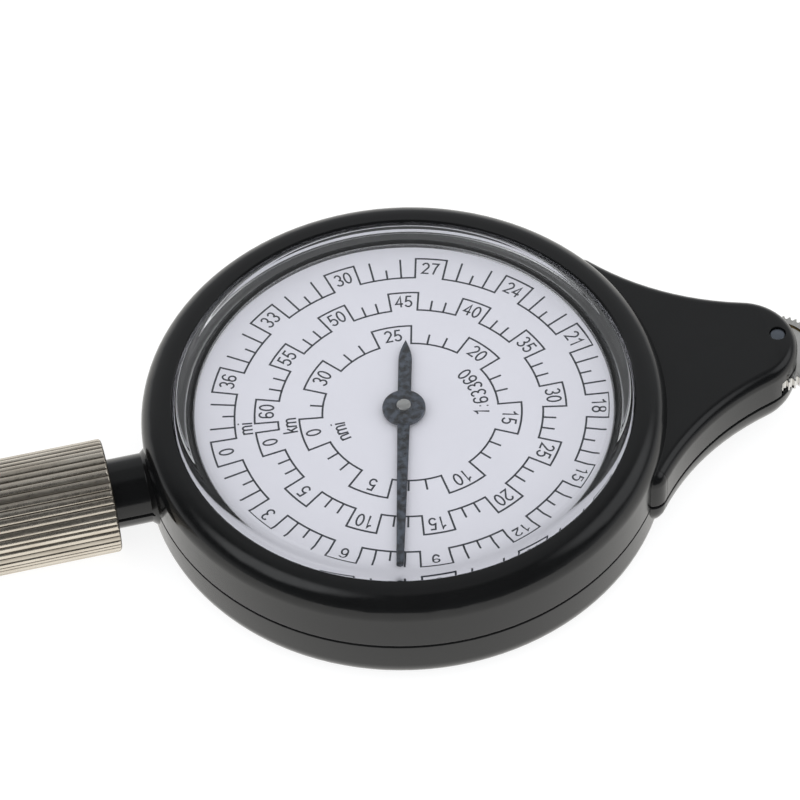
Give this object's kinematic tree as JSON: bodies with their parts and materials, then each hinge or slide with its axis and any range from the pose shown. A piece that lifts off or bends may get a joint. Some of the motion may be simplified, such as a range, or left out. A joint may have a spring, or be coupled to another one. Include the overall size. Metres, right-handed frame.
{
  "type": "map measurer",
  "caption": "Round black map measurer with a white three-scale dial, a blue-grey pointer, a toothed rolling wheel in its nose and a ribbed metal handle.",
  "frame": {"origin": "centre of the flat back of the case, on the pointer's axis", "axes": "+X from the handle towards the measuring wheel, +Z out of the dial, with the case lying on its back"},
  "size_m": [0.1149, 0.045, 0.0105],
  "materials": {
    "case_plastic": "black moulded plastic with a soft shine",
    "lens_clear": "clear moulded lens",
    "dial_white": "satin cool white print ground",
    "pointer_dark": "dark blue-grey satin",
    "nickel": "warm nickel plate over straight ridges",
    "wheel_steel": "bright turned steel",
    "steel": "bright steel",
    "brass": "stamped and turned brass"
  },
  "bodies": {
    "case": {"front_shell": "case_plastic", "rear_shell": "case_plastic", "lens": "lens_clear", "dial_plate": "dial_white", "movement_plate": "brass", "plate_screws": "steel", "case_screws": "steel", "centre_bush": "brass", "wheel_axle": "steel", "handle_tube": "nickel", "handle_end_cap": "nickel"},
    "wheel": {"measuring_wheel": "wheel_steel", "wheel_bush": "brass"},
    "idler": {"idler_arbor": "steel", "idler_collet": "brass", "idler_gear": "brass"},
    "second": {"second_arbor": "steel", "second_collet": "brass", "second_gear": "brass"},
    "hand": {"pointer": "pointer_dark", "pointer_arbor": "steel", "centre_collet": "brass", "centre_gear": "brass"}
  },
  "joints": [
    {"name": "wheel_spin", "type": "hinge", "parent": "case", "child": "wheel", "pos_m": [0.03318, 0, 0.0058], "axis": [0, 0, 1], "continuous": true},
    {"name": "idler_spin", "type": "hinge", "parent": "case", "child": "idler", "pos_m": [0.024, 0, 0.004], "axis": [0, 0, 1], "continuous": true},
    {"name": "second_spin", "type": "hinge", "parent": "case", "child": "second", "pos_m": [0.013, 0, 0.003], "axis": [0, 0, 1], "continuous": true},
    {"name": "pointer_spin", "type": "hinge", "parent": "case", "child": "hand", "pos_m": [0, 0, 0.007], "axis": [0, 0, 1], "continuous": true}
  ],
  "couplings": [
    {"joint": "idler_spin", "follows": "wheel_spin", "ratio": -0.7},
    {"joint": "second_spin", "follows": "wheel_spin", "ratio": 0.15556},
    {"joint": "pointer_spin", "follows": "wheel_spin", "ratio": -0.025}
  ]
}
